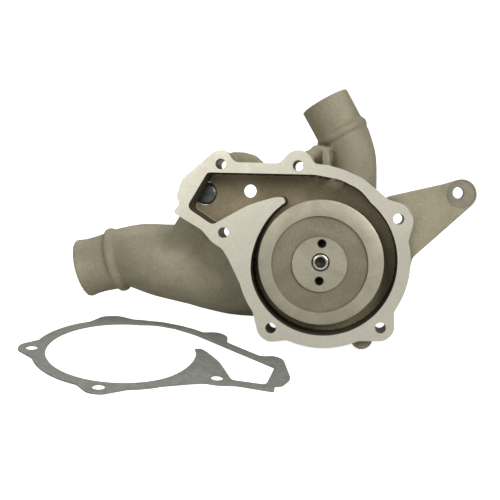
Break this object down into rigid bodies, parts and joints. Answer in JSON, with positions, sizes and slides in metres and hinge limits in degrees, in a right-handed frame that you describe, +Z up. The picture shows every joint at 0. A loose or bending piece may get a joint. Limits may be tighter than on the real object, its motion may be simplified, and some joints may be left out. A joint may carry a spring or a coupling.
{
  "type": "engine coolant pump",
  "caption": "Cast volute coolant pump with two hose necks, an outlet pocket, a bracket arm, a shaft-mounted impeller, a drive hub and a loose gasket.",
  "frame": {"origin": "bottom centre of the bounding box: the floor plane Z = 0 under the middle of the pump and gasket together", "axes": "+Z up; the shaft axis runs along +Y and dips by the angle at which the pump stands on the floor; the engine face looks towards -Y; +X towards the bracket arm, away from the inlet neck"},
  "size_m": [0.3302, 0.2652, 0.2004],
  "materials": {
    "cast_body": "sand-cast grey iron with an olive tint; machined engine face, bores and spot faces",
    "impeller_iron": "cast iron with a machined front face and a rough cast recess",
    "hub_iron": "machined cast iron",
    "plug_steel": "pressed steel, slightly blued",
    "shaft_steel": "ground steel",
    "dark_steel": "dark pressed steel",
    "cage_brass": "machined brass",
    "bearing_steel": "ground and polished bearing steel",
    "seal_brass": "drawn brass",
    "black_rubber": "black moulded rubber",
    "seal_ceramic": "lapped white ceramic",
    "seal_carbon": "fine carbon",
    "spring_steel": "bright spring wire",
    "gasket_fibre": "matte grey-olive fibre sheet"
  },
  "bodies": {
    "pump_body": {"pump_housing": "cast_body", "core_plug": "plug_steel", "front_bearing_outer_race": "bearing_steel", "front_bearing_front_shield": "dark_steel", "front_bearing_rear_shield": "dark_steel", "rear_bearing_outer_race": "bearing_steel", "rear_bearing_front_shield": "dark_steel", "rear_bearing_rear_shield": "dark_steel", "outer_spacer": "bearing_steel", "bearing_circlip": "dark_steel", "seal_carbon_ring": "seal_carbon", "seal_bellows": "black_rubber", "seal_spring": "spring_steel", "seal_case": "seal_brass"},
    "rotor": {"impeller": "impeller_iron", "pump_shaft": "shaft_steel", "drive_hub": "hub_iron", "water_slinger": "dark_steel", "front_bearing_inner_race": "bearing_steel", "rear_bearing_inner_race": "bearing_steel", "inner_spacer": "bearing_steel", "seal_seat_cup": "black_rubber", "seal_seat": "seal_ceramic"},
    "front_ball_set": {"front_bearing_cage": "cage_brass", "front_bearing_ball_1": "bearing_steel", "front_bearing_ball_2": "bearing_steel", "front_bearing_ball_3": "bearing_steel", "front_bearing_ball_4": "bearing_steel", "front_bearing_ball_5": "bearing_steel", "front_bearing_ball_6": "bearing_steel", "front_bearing_ball_7": "bearing_steel", "front_bearing_ball_8": "bearing_steel", "front_bearing_ball_9": "bearing_steel"},
    "rear_ball_set": {"rear_bearing_cage": "cage_brass", "rear_bearing_ball_1": "bearing_steel", "rear_bearing_ball_2": "bearing_steel", "rear_bearing_ball_3": "bearing_steel", "rear_bearing_ball_4": "bearing_steel", "rear_bearing_ball_5": "bearing_steel", "rear_bearing_ball_6": "bearing_steel", "rear_bearing_ball_7": "bearing_steel", "rear_bearing_ball_8": "bearing_steel", "rear_bearing_ball_9": "bearing_steel"},
    "gasket": {"volute_gasket": "gasket_fibre"}
  },
  "joints": [
    {"name": "shaft_spin", "type": "hinge", "parent": "pump_body", "child": "rotor", "pos_m": [0.05064, 0.00088, 0.07109], "axis": [0, 0.9813, -0.1924], "continuous": true},
    {"name": "front_balls_spin", "type": "hinge", "parent": "pump_body", "child": "front_ball_set", "pos_m": [0.05064, 0.00088, 0.07109], "axis": [0, 0.9813, -0.1924], "continuous": true},
    {"name": "rear_balls_spin", "type": "hinge", "parent": "pump_body", "child": "rear_ball_set", "pos_m": [0.05064, 0.00088, 0.07109], "axis": [0, 0.9813, -0.1924], "continuous": true},
    {"name": "gasket_lift", "type": "slide", "parent": "pump_body", "child": "gasket", "axis": [0, 0, 1], "range_m": [0, 0.05]}
  ],
  "couplings": [
    {"joint": "front_balls_spin", "follows": "shaft_spin", "ratio": 0.39758},
    {"joint": "rear_balls_spin", "follows": "shaft_spin", "ratio": 0.39758}
  ]
}
